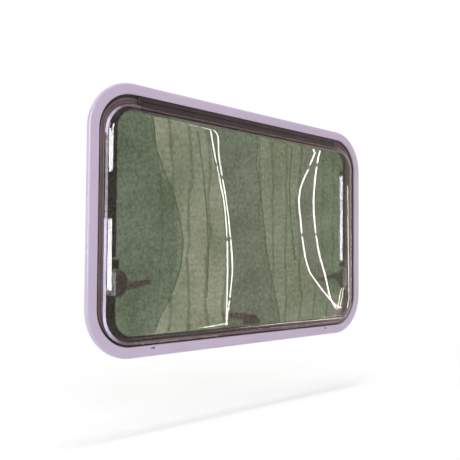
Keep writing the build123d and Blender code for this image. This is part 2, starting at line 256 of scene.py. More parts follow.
def mirror_only(lamp, colour, strength):
    """Makes a flat piece a lamp that only mirror-like surfaces see, and returns its nodes."""
    clear_bench()
    glow, tree = new_finish(lamp.name)
    tree.nodes.clear()
    light = add_node(tree, "Emission", {"Color": (*colour, 1.0), "Strength": strength})
    wire(tree, (light, 0, add_node(tree, "OutputMaterial"), "Surface"))
    lamp.data.materials.append(glow)
    for kind in ("camera", "diffuse", "transmission", "shadow"):
        setattr(lamp, "visible_" + kind, False)
    return tree


def mirror_lamp(name, rows, size, colour, strength, stand=TUBE_STAND, along=TUBE_ALONG):
    """A strip lamp: rows of points on an upright plane, drawn out by its width along it or its height."""
    lamp = start_piece(name)
    for row in rows:
        spots = upright(stand, along, row)
        pick(lamp, lambda co: co.length < 1e-9, "VERT")
        bpy.ops.mesh.duplicate_move(TRANSFORM_OT_translate={"value": spots[0]})
        for before, after in zip(spots, spots[1:]):
            pull(after - before)
    pick(lamp, lambda co: co.length < 1e-9, "VERT")
    bpy.ops.mesh.delete(type="VERT")
    pick_all()
    width, height = size
    pull(along * width * MM + at(0, 0, height))
    mirror_only(lamp, colour, strength)


def mirror_card(name, outline, strength, fold, stand=CARD_STAND):
    """A warm cloth on an upright plane, an outline across and up, whose folds make darker lines in it."""
    lamp = start_piece(name)
    trace(upright(stand, TUBE_ALONG, outline))
    tree = mirror_only(lamp, CLOTH_WARM, strength)
    facing = -TUBE_ALONG.xy.angle_signed(Vector((1.0, 0.0)))
    here = add_node(tree, "TexCoord")
    turn = add_node(tree, "Mapping", {"Rotation": (0.0, 0.0, facing)})
    folds = add_node(tree, "TexWave", {"Scale": fold, "Distortion": 2.2, "Detail": 1.0, "Detail Scale": 1.2})
    line = add_node(tree, "MapRange", {"From Max": 0.12, "To Min": 0.35})
    ribs = add_node(tree, "TexWave", {"Scale": 9.0, "Distortion": 6.0, "Detail Scale": 0.8},
                    bands_direction="Z")
    rib_level = add_node(tree, "MapRange", {"To Min": 0.86})
    patches = add_node(tree, "TexNoise", {"Scale": 3.5, "Detail": 5.0})
    patch_level = add_node(tree, "MapRange", {
        "From Min": 0.3, "From Max": 0.7, "To Min": 0.62 * strength, "To Max": 1.25 * strength})
    both = add_node(tree, "Math", operation="MULTIPLY")
    total = add_node(tree, "Math", operation="MULTIPLY")
    wire(
        tree,
        (here, "Object", turn, "Vector"), (turn, "Vector", folds, "Vector"), (turn, "Vector", ribs, "Vector"),
        (turn, "Vector", patches, "Vector"), (folds, "Fac", line, "Value"), (ribs, "Fac", rib_level, "Value"),
        (patches, "Fac", patch_level, "Value"), (line, "Result", both, 0), (rib_level, "Result", both, 1),
        (both, 0, total, 0), (patch_level, "Result", total, 1),
        (total, 0, tree.nodes["Emission"], "Strength"),
    )


mirror_lamp("tube_a", [
    [(-193, 858), (-183, 794), (-172, 737), (-161, 690)],
    [(-157, 671), (-140, 592), (-123, 516), (-112, 447), (-105, 365), (-101, 311)],
    [(-100, 295), (-97, 182), (-98, 45), (-100, -55), (-101, -124)],
], (6.2, 0.0), TUBE_WHITE, 26.0)
mirror_lamp("tube_b", [
    [(-196, 870), (-166, 845), (-151, 820), (-150, 744), (-141, 680), (-131, 627)],
    [(-127, 605), (-110, 516), (-96, 428), (-83, 317)],
    [(-81, 305), (-74, 226), (-70, 157), (-76, 82), (-83, 13)],
    [(-85, -5), (-95, -61), (-100, -124)],
], (6.2, 0.0), TUBE_WHITE, 26.0)
mirror_lamp("tube_c", [
    [(360, 761), (369, 743), (357, 717), (341, 681)],
    [(334, 659), (311, 616), (292, 565), (283, 514), (285, 464), (293, 403), (299, 336)],
    [(301, 320), (310, 263), (323, 198), (342, 143), (375, 98), (408, 58), (446, 13), (478, -17), (513, -37)],
], (7.2, 0.0), TUBE_WHITE, 26.0)
mirror_lamp("tube_d", [
    [(399, 758), (387, 723), (383, 690)],
    [(379, 672), (371, 616), (365, 555), (362, 495), (364, 434), (374, 339)],
    [(377, 324), (388, 258), (404, 198), (421, 143), (435, 93), (445, 43), (459, 3), (484, -37)],
], (7.2, 0.0), TUBE_WHITE, 26.0)
mirror_lamp("tube_tails", [
    [(-355, 892), (-312, 884), (-264, 874), (-221, 864), (-193, 858)],
    [(-248, -147), (-211, -140), (-158, -130), (-100, -120)],
], (0.0, 6.0), (1.0, 0.95, 0.90), 20.0)
mirror_lamp("tube_e", [
    [(550, 578), (552, 456), (554, 305), (556, 154), (558, 14), (549, -46), (536, -70)],
    [(528, 69), (519, 18), (505, -37)], [(516, 63), (504, 3), (494, -42)],
], (5.0, 0.0), TUBE_WARM, 14.0)
mirror_lamp("tube_f", [[(413, -122), (478, -109), (522, -86), (536, -70)]], (0.0, 7.0), TUBE_WARM, 14.0)
mirror_lamp("low_strip", [[(0, 0), (350, 0), (1100, 0)]], (0.0, 560.0), TUBE_WARM, 14.0,
            Vector((1.2, -0.8, -1.15)), SIDEWAYS)
mirror_lamp("high_strip", [[(0, 0), (140, 0)], [(170, 40), (230, 0)], [(260, 20), (330, 60)]], (0.0, 500.0),
            (0.92, 0.86, 1.0), 6.0, Vector((0.75, -0.8, 1.5)), SIDEWAYS)
CLOTH_EDGE = [
    (-530, 1040), (-510, 913), (-500, 795), (-451, 673), (-393, 541), (-358, 409), (-340, 303), (-350, 172),
    (-383, 66), (-415, -13), (-459, -91), (-486, -160), (-530, -290),
]
mirror_card("card_a", CLOTH_EDGE + [
    (-101, -262), (-105, 278), (-129, 516), (-182, 754), (-228, 887), (-262, 1010),
], 3.6, 3.0)
mirror_lamp("dark_folds", [
    [(across - 8, up) for across, up in CLOTH_EDGE],
    [(-549, 953), (-507, 804), (-477, 619), (-466, 407), (-472, 197), (-486, -12), (-496, -159)],
    [(77, 960), (69, 850), (59, 713), (94, 480), (118, 248), (160, 60), (182, -40), (205, -150)],
    [(-272, 880), (-240, 660), (-214, 420), (-206, 200), (-214, 0)],
    [(262, 800), (246, 600), (255, 400), (280, 200)],
], (7.0, 0.0), (0.0, 0.0, 0.0), 0.0, CARD_STAND - 0.01 * TUBE_BACK)
mirror_card("card_a_edge", [(across - 33, up) for across, up in CLOTH_EDGE] + [(-300, -275), (-300, 1020)],
            1.5, 3.0, CARD_STAND + 0.02 * TUBE_BACK)
mirror_card("card_b_edge", [
    (47, 965), (40, 862), (32, 713), (69, 480), (95, 248), (160, -66), (190, -205), (300, -190), (300, 940),
], 0.9, 4.0, CARD_STAND + 0.02 * TUBE_BACK)
mirror_card("card_b", [
    (85, 965), (77, 857), (67, 713), (102, 480), (126, 248), (190, -61), (218, -205), (430, -180), (484, -28),
    (399, 82), (336, 192), (301, 334), (283, 519), (323, 652), (345, 774), (360, 885),
], 1.9, 4.0)
mirror_card("card_c", [
    (440, 880), (425, 775), (408, 679), (397, 520), (409, 351), (450, 193), (484, 46), (570, -6), (570, 850),
], 0.8, 5.0)
mirror_lamp("left_panel", [[(0, 645), (0, 1700)], [(0, 45), (0, 400)]], (1120.0, 0.0), (1.0, 0.99, 1.0), 24.0,
            Vector((-2.19, -0.53, 0.0)), Vector((0.93, -1.31, 0.0)).normalized())


# Frame
# One satin lavender-grey moulding: a flange with a rounded edge that lies on the wall, a reveal, a neck that
# passes through the wall and a ledge for the seal. The neck's end has pilot holes for the screws of an inner
# clamp frame, and the lower rail has two drain slots.
def box_mm(node):
    """The lowest and highest corner of a CAD node in millimetres, to a tenth."""
    return [[round(value / MM, 1) for value in corner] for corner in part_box(node)]


(frame_left, frame_front, BOTTOM_Z), (frame_right, NECK_DEPTH, TOP_Z) = box_mm("outer_frame")
FLANGE_W, FLANGE_H, FLANGE_T, FLANGE_R = frame_right - frame_left, TOP_Z - BOTTOM_Z, -frame_front, 112.0
CENTRE_Z = (BOTTOM_Z + TOP_Z) / 2
RING_W, REVEAL_Y, REVEAL_IN = 24.5, -3.5, 29.0
NECK_OUT, NECK_IN = 28.5, 35.0
FLOOR_Y, LEDGE_BACK, LEDGE_OUT = 1.0, 5.0, 34.0
EDGE_R, RING_R, REVEAL_R, NECK_R = 5.5, 1.2, 1.5, 0.8
CORNER_STEPS = 28
FACE_ON = (radians(90), 0.0, 0.0)
LEDGE_SIDE, LEDGE_TOP, LEDGE_BOTTOM, LEDGE_R = 75.0, 58.0, 48.0, 45.0
NOTCH_SIDE, NOTCH_LOW, NOTCH_HIGH, NOTCH_R = 56.0, 124.0, 207.0, 1.5
NOTCH_BOTTOM, NOTCH_HALF, NOTCH_MID, NOTCH_DEPTH = 44.5, 26.0, 10.0, 40.0
PILOT_R, PILOT_DEPTH, PILOT_INSET = 1.5, 14.0, 31.75
PILOT_ACROSS, PILOT_UP = (-330, -110, 110, 330), (-130, 130)
SLOT_X, SLOT_INSET, SLOT_L, SLOT_H, SLOT_CUT = 308.0, 18.5, 12.0, 4.0, 6.5


def round_corners(piece, corners, radius, steps):
    """Rounds the corners of a traced outline that lie at these points."""
    pick(piece, lambda co: any((co - corner).length < 1e-5 for corner in corners), "VERT")
    bpy.ops.mesh.bevel(affect="VERTICES", offset=radius * MM, segments=steps)


def rail_point(inset, depth):
    """A point of a section in the middle of the lower rail, by its inset from the flange's edge."""
    return at(0, depth, BOTTOM_Z + inset)


def open_section():
    """Takes the face out of a traced section and selects the outline that is left."""
    bpy.ops.mesh.select_mode(type="FACE")
    pick_all()
    bpy.ops.mesh.delete(type="ONLY_FACE")
    bpy.ops.mesh.select_mode(type="VERT")
    pick_all()


def face_out():
    """Turns all faces outward."""
    pick_all()
    bpy.ops.mesh.normals_make_consistent(inside=False)


def run_round():
    """Sweeps the traced section once round the flange's rounded outline."""
    open_section()
    across = (FLANGE_W - 2 * FLANGE_R) * MM
    up = (FLANGE_H - 2 * FLANGE_R) * MM
    low, high = (BOTTOM_Z + FLANGE_R) * MM, (TOP_Z - FLANGE_R) * MM
    legs = [
        ((across / 2, 0, 0), (across / 2, 0, low)),
        ((0, 0, up), (across / 2, 0, high)),
        ((-across, 0, 0), (-across / 2, 0, high)),
        ((0, 0, -up), (-across / 2, 0, low)),
    ]
    for run, corner in legs:
        pull(run)
        bpy.ops.mesh.spin(steps=CORNER_STEPS, angle=radians(90), center=corner, axis=(0, 1, 0))
    pull((across / 2, 0, 0))
    pick_all()
    bpy.ops.mesh.remove_doubles(threshold=2e-6)
    face_out()


def rounded_sheet(name, side, top, bottom, radius, depth, steps):
    """A flat sheet, as a new piece in edit mode, set in from the flange's edge and facing outside."""
    clear_bench()
    low, high = BOTTOM_Z + bottom, TOP_Z - top
    bpy.ops.mesh.primitive_plane_add(size=1.0, location=at(0, depth, (low + high) / 2), rotation=FACE_ON)
    piece = bpy.context.object
    piece.name = name
    piece.data.name = name
    piece.scale = ((FLANGE_W - 2 * side) * MM, (high - low) * MM, 1.0)
    bpy.ops.object.transform_apply()
    bpy.ops.object.mode_set(mode="EDIT")
    pick_all()
    bpy.ops.mesh.bevel(affect="VERTICES", offset=radius * MM, segments=steps)
    pick_all()
    return piece


def thicken(depth):
    """Gives an outline a thickness toward the inside."""
    pick_all()
    pull(at(0, depth, 0))
    face_out()


def empty_piece(name):
    """A new piece in edit mode that has no geometry yet."""
    piece = start_piece(name)
    bpy.ops.mesh.delete(type="VERT")
    return piece


def take_up(piece):
    """Makes a piece the only one that is selected, in object mode."""
    clear_bench()
    bpy.context.view_layer.objects.active = piece
    piece.select_set(True)


def combine(piece, how, *others):
    """Takes other shapes out of a piece (DIFFERENCE) or makes one solid with them (UNION)."""
    for other in others:
        take_up(piece)
        step = piece.modifiers.new("step", "BOOLEAN")
        step.operation = how
        step.solver = "EXACT"
        step.object = other
        bpy.ops.object.modifier_apply(modifier="step")
        bpy.data.objects.remove(other)


def join_pieces(first, *others):
    """Makes several meshes one piece that keeps the first one's name."""
    take_up(first)
    for piece in others:
        piece.select_set(True)
    bpy.ops.object.join()


def close_up(piece, angle=32.0):
    """Ends the work on a piece and shades it smooth up to an angle between faces."""
    take_up(piece)
    bpy.ops.object.shade_smooth_by_angle(angle=radians(angle))


def new_group(name, inputs, outputs):
    """An empty shader group with these sockets, with its input and output nodes."""
    group = bpy.data.node_groups.new(name, "ShaderNodeTree")
    for label, kind, value in inputs:
        socket = group.interface.new_socket(label, in_out="INPUT", socket_type="NodeSocket" + kind)
        socket.default_value = value
    for label, kind in outputs:
        group.interface.new_socket(label, in_out="OUTPUT", socket_type="NodeSocket" + kind)
    return group, group.nodes.new("NodeGroupInput"), group.nodes.new("NodeGroupOutput")


GREY = (0.5, 0.5, 0.5, 1.0)
moulded_skin, skin_in, skin_out = new_group("moulded_skin", [
    ("Colour", "Color", GREY), ("Shade", "Color", GREY), ("Patch Scale", "Float", 6.0),
    ("Grain Scale", "Float", 900.0), ("Grain Depth", "Float", 0.1), ("Gloss", "Float", 0.4),
    ("Gloss Spread", "Float", 0.2),
], [("Color", "Color"), ("Roughness", "Float"), ("Normal", "Vector")])
skin_place = add_node(moulded_skin, "TexCoord")
skin_patch = add_node(moulded_skin, "TexNoise", {"Detail": 4.0, "Roughness": 0.6})
skin_grain = add_node(moulded_skin, "TexNoise", {"Detail": 2.0})
skin_level = add_node(moulded_skin, "MapRange", {"From Min": 0.35, "From Max": 0.65})
skin_mix = add_node(moulded_skin, "Mix", data_type="RGBA")
skin_bump = add_node(moulded_skin, "Bump", {"Distance": 0.0004})
skin_middle = add_node(moulded_skin, "Math", {1: 0.5}, operation="SUBTRACT")
skin_spread = add_node(moulded_skin, "Math", operation="MULTIPLY_ADD")
wire(
    moulded_skin,
    (skin_place, "Object", skin_patch, "Vector"), (skin_place, "Object", skin_grain, "Vector"),
    (skin_in, "Patch Scale", skin_patch, "Scale"), (skin_in, "Grain Scale", skin_grain, "Scale"),
    (skin_patch, "Fac", skin_level, "Value"), (skin_level, "Result", skin_mix, "Factor"),
    (skin_in, "Colour", skin_mix, "A"), (skin_in, "Shade", skin_mix, "B"),
    (skin_mix, "Result", skin_out, "Color"), (skin_patch, "Fac", skin_middle, 0),
    (skin_middle, 0, skin_spread, 0), (skin_in, "Gloss Spread", skin_spread, 1),
    (skin_in, "Gloss", skin_spread, 2), (skin_spread, 0, skin_out, "Roughness"),
    (skin_grain, "Fac", skin_bump, "Height"), (skin_in, "Grain Depth", skin_bump, "Strength"),
    (skin_bump, "Normal", skin_out, "Normal"),
)


def moulded(name, colour, shade, patch, grain, depth, gloss, spread, specular=0.5, metallic=0.0):
    """A plastic, rubber or plain metal with patchy colour, fine grain and uneven gloss."""
    finish, tree = new_finish(name)
    shader = tree.nodes["Principled BSDF"]
    shader.inputs["Specular IOR Level"].default_value = specular
    shader.inputs["Metallic"].default_value = metallic
    skin = add_node(tree, "Group", {
        "Colour": (*colour, 1.0), "Shade": (*shade, 1.0), "Patch Scale": patch, "Grain Scale": grain,
        "Grain Depth": depth, "Gloss": gloss, "Gloss Spread": spread}, node_tree=moulded_skin)
    wire(tree, (skin, "Color", shader, "Base Color"), (skin, "Roughness", shader, "Roughness"),
         (skin, "Normal", shader, "Normal"))
    return finish


def fitted(piece, finish, slot, *nodes, body="window"):
    """Gives a finished piece its material and its body, in place of these CAD nodes; slot is not used."""
    piece.data.materials.clear()
    piece.data.materials.append(finish)
    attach(piece, body)
    if nodes:
        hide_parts(*nodes)


frame_moulding = start_piece("frame_moulding")
trace([rail_point(*p) for p in [
    (0, 0), (0, -FLANGE_T), (RING_W, -FLANGE_T), (RING_W, REVEAL_Y), (REVEAL_IN, FLOOR_Y), (NECK_IN, FLOOR_Y),
    (NECK_IN, NECK_DEPTH), (NECK_OUT, NECK_DEPTH), (NECK_OUT, 0),
]])
round_corners(frame_moulding, [rail_point(0, -FLANGE_T)], EDGE_R, 9)
round_corners(frame_moulding, [rail_point(RING_W, -FLANGE_T)], RING_R, 4)
round_corners(frame_moulding, [rail_point(RING_W, REVEAL_Y), rail_point(REVEAL_IN, FLOOR_Y)], REVEAL_R, 3)
round_corners(frame_moulding, [rail_point(inset, NECK_DEPTH) for inset in (NECK_IN, NECK_OUT)], NECK_R, 2)
run_round()

frame_ledge = rounded_sheet("frame_ledge", LEDGE_OUT, LEDGE_OUT, LEDGE_OUT, FLANGE_R - LEDGE_OUT, FLOOR_Y,
                            CORNER_STEPS)
thicken(LEDGE_BACK - FLOOR_Y)
LEDGE_EDGE = [
    (LEDGE_SIDE, LEDGE_TOP, LEDGE_BOTTOM, LEDGE_R, 0.0),
    (NOTCH_SIDE, TOP_Z - NOTCH_HIGH, NOTCH_LOW - BOTTOM_Z, NOTCH_R, 0.0),
    (FLANGE_W / 2 - NOTCH_HALF, FLANGE_H - NOTCH_BOTTOM - NOTCH_DEPTH, NOTCH_BOTTOM, NOTCH_R, NOTCH_MID),
]


def open_ledge(piece, grow, front, back):
    """Cuts the opening and its notches for the strikes and the feet of the stays out of a sheet."""
    for side, top, bottom, radius, middle in LEDGE_EDGE:
        hole = rounded_sheet("ledge_hole", side - grow, top - grow, bottom - grow, radius + grow,
                             front - 2.0, 20)
        thicken(back - front + 4.0)
        bpy.ops.transform.translate(value=at(middle, 0, 0))
        combine(piece, "DIFFERENCE", hole)


open_ledge(frame_ledge, 0.0, FLOOR_Y, LEDGE_BACK)

drills = empty_piece("drills")
pilot_sides = (frame_left + PILOT_INSET, frame_right - PILOT_INSET)
pilots = [(x, z) for x in PILOT_ACROSS for z in (BOTTOM_Z + PILOT_INSET, TOP_Z - PILOT_INSET)]
pilots += [(x, CENTRE_Z + z) for x in pilot_sides for z in PILOT_UP]
for x, z in pilots:
    bpy.ops.mesh.primitive_cylinder_add(vertices=16, radius=PILOT_R * MM, depth=2 * PILOT_DEPTH * MM,
                                        location=at(x, NECK_DEPTH, z), rotation=FACE_ON)
combine(frame_moulding, "DIFFERENCE", drills)
for x in (-SLOT_X, SLOT_X):
    drain_slot = rounded_sheet("drain_slot", FLANGE_W / 2 - SLOT_L / 2, FLANGE_H - SLOT_INSET - SLOT_H / 2,
                               SLOT_INSET - SLOT_H / 2, SLOT_H / 2 - 0.05, -FLANGE_T - 1.0, 6)
    thicken(SLOT_CUT)
    bpy.ops.transform.translate(value=at(x, 0, 0))
    combine(frame_moulding, "DIFFERENCE", drain_slot)
join_pieces(frame_moulding, frame_ledge)
close_up(frame_moulding)
frame_plastic = moulded("frame_plastic", (0.490, 0.412, 0.545), (0.462, 0.388, 0.510), 5.0, 700.0, 0.10,
                        0.40, 0.20, specular=0.2)
fitted(frame_moulding, frame_plastic, "frame_plastic", "outer_frame")


# Seal
# One rubber ring on the frame's ledge, black-brown and dull: a foot strip with two soft lips that the rims
# of the sash press on, a thin apron over the rest of the ledge's front and a skirt on the reveal, whose
# near-black colour is painted shade for the shadow that the ring casts there.
LIP_OUTER, LIP_INNER, LIP_FRONT, LIP_R = (30.5, 36.5), (39.0, 44.0), -2.4, 1.7
APRON_OUT, APRON_FRONT, APRON_T = 43.0, FLOOR_Y - 0.7, 0.65
SKIRT_TIP, SKIRT_TIP_Y = 24.9, -4.8
seal_lips = start_piece("seal_lips")
trace([rail_point(*p) for p in [
    (LIP_OUTER[0], FLOOR_Y), (LIP_OUTER[0], LIP_FRONT), (LIP_OUTER[1], LIP_FRONT), (LIP_OUTER[1], 0.0),
    (LIP_INNER[0], 0.0), (LIP_INNER[0], LIP_FRONT), (LIP_INNER[1], LIP_FRONT), (LIP_INNER[1], FLOOR_Y),
]])
round_corners(seal_lips, [rail_point(inset, LIP_FRONT) for inset in LIP_OUTER + LIP_INNER], LIP_R, 5)
run_round()
seal_apron = rounded_sheet("seal_apron", APRON_OUT, APRON_OUT, APRON_OUT, FLANGE_R - APRON_OUT, APRON_FRONT,
                           CORNER_STEPS)
thicken(APRON_T)
open_ledge(seal_apron, 0.2, APRON_FRONT, FLOOR_Y)
join_pieces(seal_lips, seal_apron)
close_up(seal_lips, 40.0)
# The skirt's near-black colour is painted shade: it darkens the reveal where the ring casts its shadow.
seal_shade_skirt = start_piece("seal_shade_skirt")
trace([rail_point(*p) for p in [
    (29.2, FLOOR_Y), (24.7, -3.3), (SKIRT_TIP, SKIRT_TIP_Y), (30.6, 0.1), (30.6, FLOOR_Y),
]])
round_corners(seal_shade_skirt, [rail_point(SKIRT_TIP, SKIRT_TIP_Y)], 0.3, 2)
run_round()
close_up(seal_shade_skirt, 40.0)
seal_rubber = moulded("seal_rubber", (0.138, 0.093, 0.093), (0.090, 0.060, 0.063), 14.0, 1200.0, 0.18,
                      0.50, 0.25)
# Painted shade: a near-black copy of the seal's rubber, for the shadow on the reveal.
skirt_painted_shade = moulded("skirt_painted_shade", (0.022, 0.016, 0.017), (0.012, 0.009, 0.010), 14.0, 1200.0, 0.18,
                      0.55, 0.25)
fitted(seal_shade_skirt, skirt_painted_shade, "seal_rubber")
fitted(seal_lips, seal_rubber, "seal_rubber", "weather_seal")


# Outer sheet
# Smoked green cast acrylic, 3 mm thick, thermoformed: a flat rim that is bonded to the inner sheet,
# a rounded step and a field that bows outward. Fine rubbing marks and a cloudy tint show in it.
SASH_SIDE, SASH_TOP, SASH_BOTTOM, SASH_R = 40.0, 45.0, 28.5, 70.0
RIM_FRONT, RIM_FLAT, OUTER_T = -8.5, 6.7, 3.0
FIELD_EDGE_Y, FIELD_MID_Y = -17.0, -20.5
FIELD_RISE, FIELD_BOW = RIM_FRONT - FIELD_EDGE_Y, FIELD_EDGE_Y - FIELD_MID_Y
FIELD_ARC = ((FLANGE_W / 2) ** 2 + FIELD_BOW ** 2) / (2 * FIELD_BOW)
FOOT_R, SHOULDER_R, SHOULDER_END = 2.5, 9.0, 18.64
SLOPE_START_Y, SLOPE_RISE, SLOPE_RUN, SLOPE_ZONE = -9.565, 3.6, 0.70, 25.0
STRAIGHT_MIN, FIELD_INSETS = 300.0, (24.0, 32.0)
ACRYLIC_IOR = 1.49
outer_sheet = rounded_sheet("outer_sheet", SASH_SIDE, SASH_TOP, SASH_BOTTOM, SASH_R, RIM_FRONT, 24)
bpy.ops.mesh.select_mode(type="EDGE")
bpy.ops.mesh.select_all(action="DESELECT")
bpy.ops.object.mode_set(mode="OBJECT")
for edge in outer_sheet.data.edges:
    first, second = (outer_sheet.data.vertices[i].co for i in edge.vertices)
    edge.select = (first - second).length > STRAIGHT_MIN * MM
bpy.ops.object.mode_set(mode="EDIT")
bpy.ops.mesh.subdivide(number_cuts=31)
bpy.ops.mesh.select_mode(type="FACE")
pick_all()
step_profile = [(RIM_FLAT, 0.0)]
for turn in (11, 22, 33, 44, 55):
    step_profile.append((RIM_FLAT + FOOT_R * sin(radians(turn)), FOOT_R * (1 - cos(radians(turn)))))
for turn in (55, 46, 37, 28, 19, 10, 0):
    step_profile.append((SHOULDER_END - SHOULDER_R * sin(radians(turn)),
                         FIELD_RISE - SHOULDER_R * (1 - cos(radians(turn)))))
step_profile += [(inset, FIELD_RISE) for inset in FIELD_INSETS]
inset_now, rise_now = 0.0, 0.0
for inset, rise in step_profile:
    bpy.ops.mesh.inset(thickness=(inset - inset_now) * MM, depth=(rise - rise_now) * MM)
    inset_now, rise_now = inset, rise
bpy.ops.mesh.delete(type="ONLY_FACE")
corner_x = (FLANGE_W / 2 - SASH_SIDE - SASH_R) * MM
corner_low, corner_high = (BOTTOM_Z + SASH_BOTTOM + SASH_R) * MM, (TOP_Z - SASH_TOP - SASH_R) * MM


def from_core(co):
    """The way along the wall from a point of the sash to the rectangle of its corners' centres."""
    near_x, near_z = min(max(co.x, -corner_x), corner_x), min(max(co.z, corner_low), corner_high)
    return Vector((near_x - co.x, 0.0, near_z - co.z))


pick(outer_sheet, lambda co: from_core(co).length < (SASH_R - inset_now + 0.1) * MM)
bpy.ops.mesh.fill_grid(span=56, offset=0)
bpy.ops.object.mode_set(mode="OBJECT")
for v in outer_sheet.data.vertices:
    raised = min(max((SLOPE_START_Y * MM - v.co.y) / (SLOPE_RISE * MM), 0.0), 1.0)
    bow = (v.co.x / MM) ** 2 / (2 * FIELD_ARC) - FIELD_BOW
    inward = from_core(v.co)
    if inward.length > (SASH_R - SLOPE_ZONE) * MM:
        v.co += inward.normalized() * raised * -bow * SLOPE_RUN * MM
    v.co.y += raised * bow * MM
shell = outer_sheet.modifiers.new("shell", "SOLIDIFY")
shell.thickness = OUTER_T * MM
shell.offset = -1.0
shell.use_even_offset = True
bpy.ops.object.modifier_apply(modifier="shell")
close_up(outer_sheet, 50.0)

acrylic_wear, wear_in, wear_out = new_group("acrylic_wear", [
    ("Tint", "Color", GREY), ("Cloud", "Color", GREY), ("Cloud Scale", "Float", 9.0),
    ("Fibre Scale", "Float", 260.0), ("Rub", "Float", 0.05),
], [("Color", "Color"), ("Roughness", "Float")])
wear_place = add_node(acrylic_wear, "TexCoord")
wear_cloud = add_node(acrylic_wear, "TexNoise", {"Detail": 3.0})
wear_fibre = add_node(acrylic_wear, "TexNoise", {"Detail": 4.0, "Roughness": 0.7})
wear_sum = add_node(acrylic_wear, "Math", {1: 2.2}, operation="MULTIPLY_ADD")
wear_level = add_node(acrylic_wear, "MapRange", {"From Min": 1.30, "From Max": 1.90})
wear_mix = add_node(acrylic_wear, "Mix", data_type="RGBA")
wear_stretch = add_node(acrylic_wear, "Mapping", {
    "Scale": (400.0, 40.0, 9.0), "Rotation": (0.0, radians(12), 0.0)})
wear_lines = add_node(acrylic_wear, "TexNoise", {"Scale": 1.0})
wear_mask = add_node(acrylic_wear, "MapRange", {"From Min": 0.62, "From Max": 0.80})
wear_rough = add_node(acrylic_wear, "Math", {2: 0.012}, operation="MULTIPLY_ADD")
wire(
    acrylic_wear,
    (wear_place, "Object", wear_cloud, "Vector"), (wear_place, "Object", wear_fibre, "Vector"),
    (wear_in, "Cloud Scale", wear_cloud, "Scale"), (wear_in, "Fibre Scale", wear_fibre, "Scale"),
    (wear_fibre, "Fac", wear_sum, 0), (wear_cloud, "Fac", wear_sum, 2), (wear_sum, 0, wear_level, "Value"),
    (wear_level, "Result", wear_mix, "Factor"), (wear_in, "Tint", wear_mix, "A"),
    (wear_in, "Cloud", wear_mix, "B"), (wear_mix, "Result", wear_out, "Color"),
    (wear_place, "Object", wear_stretch, "Vector"), (wear_stretch, "Vector", wear_lines, "Vector"),
    (wear_lines, "Fac", wear_mask, "Value"), (wear_mask, "Result", wear_rough, 0),
    (wear_in, "Rub", wear_rough, 1), (wear_rough, 0, wear_out, "Roughness"),
)


def acrylic(name, tint, cloud, cloud_scale, fibre_scale, rub, haze):
    """A tinted sheet, clear but for a little haze, that lets the lamps' light through."""
    finish, tree = new_finish(name)
    shader = tree.nodes["Principled BSDF"]
    shader.inputs["Transmission Weight"].default_value = 1.0
    shader.inputs["IOR"].default_value = ACRYLIC_IOR
    wear = add_node(tree, "Group", {
        "Tint": (*tint, 1.0), "Cloud": (*cloud, 1.0), "Cloud Scale": cloud_scale, "Fibre Scale": fibre_scale,
        "Rub": rub}, node_tree=acrylic_wear)
    wire(tree, (wear, "Color", shader, "Base Color"), (wear, "Roughness", shader, "Roughness"))
    sheet = shader
    if haze:
        soft = add_node(tree, "BsdfRefraction", {
            "Color": (0.58, 0.63, 0.56, 1.0), "Roughness": 0.30, "IOR": ACRYLIC_IOR})
        sheet = add_node(tree, "MixShader", {"Fac": haze})
        wire(tree, (shader, 0, sheet, 1), (soft, 0, sheet, 2))
    passing = add_node(tree, "BsdfTransparent", {"Color": (0.9, 0.92, 0.88, 1.0)})
    lamp_path = add_node(tree, "LightPath")
    shadow_mix = add_node(tree, "MixShader")
    wire(tree, (lamp_path, "Is Shadow Ray", shadow_mix, "Fac"), (sheet, 0, shadow_mix, 1),
         (passing, 0, shadow_mix, 2), (shadow_mix, 0, tree.nodes["Material Output"], "Surface"))
    return finish


outer_acrylic = acrylic("outer_acrylic", (0.18, 0.245, 0.155), (0.43, 0.465, 0.39), 9.0, 140.0, 0.10, 0.0)
fitted(outer_sheet, outer_acrylic, "outer_acrylic", "outer_pane")


# Bond line
# A thin tape of adhesive that joins the rims of the two sheets all round and shows through the rim, darker
# along the top and the bottom; the paler colour along both sides is a painted highlight. Its shape is the
# CAD node's own.
def dressed(node, finish):
    """Gives a CAD node that keeps its own shape a new material."""
    materials = frame["nodes"][node].data.materials
    materials.clear()
    materials.append(finish)


bond_glue = moulded("bond_glue", (0.060, 0.050, 0.046), (0.040, 0.033, 0.030), 20.0, 900.0, 0.1, 0.6, 0.2)
bond_tree = bond_glue.node_tree
bond_place = add_node(bond_tree, "TexCoord")
bond_apart = add_node(bond_tree, "SeparateXYZ")
bond_aside = add_node(bond_tree, "Math", operation="ABSOLUTE")
# Painted highlight: the tape turns paler where it runs up both sides.
bond_highlight_mask = add_node(bond_tree, "MapRange", {"From Min": 0.395, "From Max": 0.430})
bond_side_highlight = add_node(bond_tree, "Mix", {"B": (0.245, 0.265, 0.275, 1.0)}, data_type="RGBA")
wire(
    bond_tree,
    (bond_place, "Object", bond_apart, 0), (bond_apart, "X", bond_aside, 0),
    (bond_aside, 0, bond_highlight_mask, "Value"), (bond_highlight_mask, "Result", bond_side_highlight, "Factor"),
    (bond_tree.nodes["Group"], "Color", bond_side_highlight, "A"),
    (bond_side_highlight, "Result", bond_tree.nodes["Principled BSDF"], "Base Color"),
)
dressed("pane_bond", bond_glue)
behind_pane.objects.link(frame["nodes"]["pane_bond"])


# Inner sheet
# Flat cast acrylic, 2.5 mm thick, with its cut edge eased. It closes the air gap of the double pane
# and carries the latches and the feet of the stays.
INNER_FRONT, INNER_BACK, INNER_IN, INNER_EASE = -5.0, -2.5, 1.0, 0.5


def ease(piece, depth, radius, steps):
    """Rounds the edges of a piece that lie at this depth."""
    pick(piece, lambda co: abs(co.y - depth * MM) < 1e-6)
    bpy.ops.mesh.bevel(offset=radius * MM, segments=steps, affect="EDGES")


